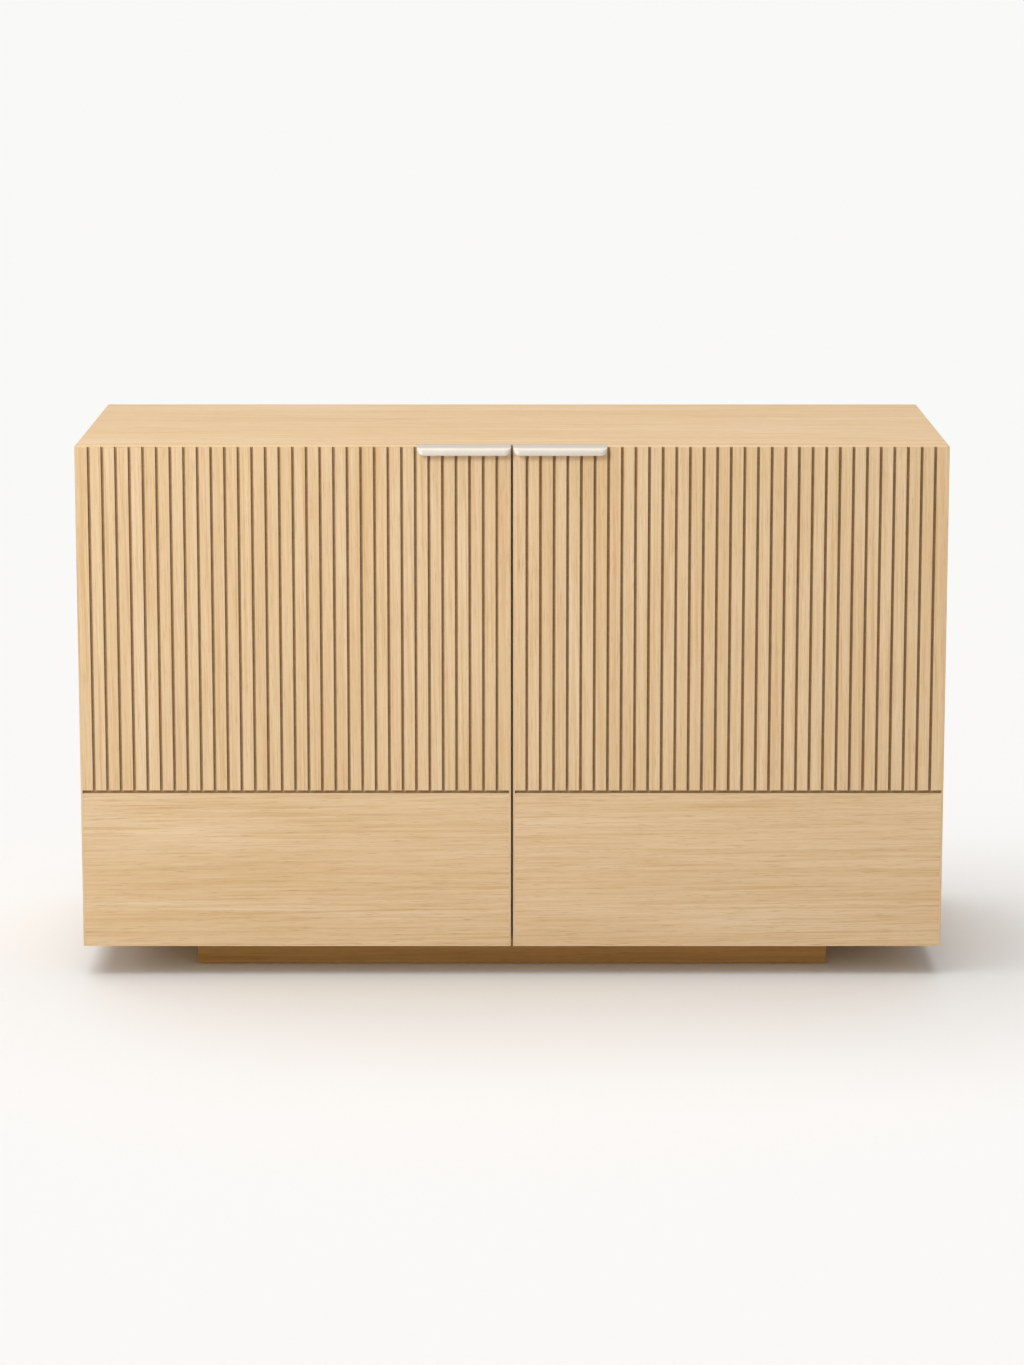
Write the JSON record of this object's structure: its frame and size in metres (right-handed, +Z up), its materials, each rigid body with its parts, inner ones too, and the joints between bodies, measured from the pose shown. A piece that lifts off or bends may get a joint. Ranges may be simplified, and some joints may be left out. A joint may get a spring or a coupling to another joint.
{
  "type": "media cabinet",
  "caption": "Oak-veneered media cabinet with slatted double doors, metal edge pulls and a recessed plinth",
  "frame": {"origin": "On the floor, at the middle of the cabinet's whole outline, with the handles included", "axes": "+X to the right seen from the front, +Y to the back, +Z up"},
  "size_m": [1.2, 0.414, 0.75],
  "materials": {
    "oak_veneer": "light oak veneer with a clear matt lacquer, grain level on the panels and upright on the slats",
    "mdf_core": "raw medium-density fibreboard, brown and finely speckled where the grooves cut through the veneer",
    "beech": "plain unfinished beech and plywood",
    "handle_metal": "satin warm-grey nickel",
    "hinge_steel": "nickel-plated pressed steel",
    "zinc_screws": "bright zinc-plated steel",
    "black_nylon": "black moulded nylon with a fine texture",
    "clear_rubber": "translucent soft elastomer"
  },
  "bodies": {
    "carcass": {"back_panel": "oak_veneer", "back_panel_screws": "zinc_screws", "bottom_panel": "oak_veneer", "cable_grommets": "black_nylon", "cam_bolts": "zinc_screws", "cam_locks": "hinge_steel", "carcass_dowels": "beech", "centre_partition": "oak_veneer", "hinge_arm_screws": "zinc_screws", "hinge_plate_screws": "zinc_screws", "left_hinge_arms": "hinge_steel", "left_hinge_plates": "hinge_steel", "left_shelf": "oak_veneer", "left_side_panel": "oak_veneer", "mitre_splines": "beech", "plinth_back": "oak_veneer", "plinth_corner_blocks": "beech", "plinth_cross_rail": "oak_veneer", "plinth_front": "oak_veneer", "plinth_glides": "black_nylon", "plinth_left_rail": "oak_veneer", "plinth_right_rail": "oak_veneer", "plinth_screws": "zinc_screws", "right_hinge_arms": "hinge_steel", "right_hinge_plates": "hinge_steel", "right_shelf": "oak_veneer", "right_side_panel": "oak_veneer", "shelf_pins": "hinge_steel", "top_panel": "oak_veneer", "wall_bracket_screws": "zinc_screws", "wall_brackets": "hinge_steel"},
    "left_door": {"left_door_back_veneer": "oak_veneer", "left_door_bumpers": "clear_rubber", "left_door_core": "mdf_core", "left_door_edge_bands": "oak_veneer", "left_door_lippings": "oak_veneer", "left_door_lower_face": "oak_veneer", "left_door_slats": "oak_veneer", "left_handle": "handle_metal", "left_handle_screws": "zinc_screws", "left_hinge_cup_screws": "zinc_screws", "left_hinge_cups": "hinge_steel"},
    "right_door": {"right_door_back_veneer": "oak_veneer", "right_door_bumpers": "clear_rubber", "right_door_core": "mdf_core", "right_door_edge_bands": "oak_veneer", "right_door_lippings": "oak_veneer", "right_door_lower_face": "oak_veneer", "right_door_slats": "oak_veneer", "right_handle": "handle_metal", "right_handle_screws": "zinc_screws", "right_hinge_cup_screws": "zinc_screws", "right_hinge_cups": "hinge_steel"}
  },
  "joints": [
    {"name": "left_door_swing", "type": "hinge", "parent": "carcass", "child": "left_door", "pos_m": [-0.594, -0.193, 0.396], "axis": [0, 0, -1], "range_deg": [0, 110]},
    {"name": "right_door_swing", "type": "hinge", "parent": "carcass", "child": "right_door", "pos_m": [0.594, -0.193, 0.396], "axis": [0, 0, 1], "range_deg": [0, 110]}
  ]
}
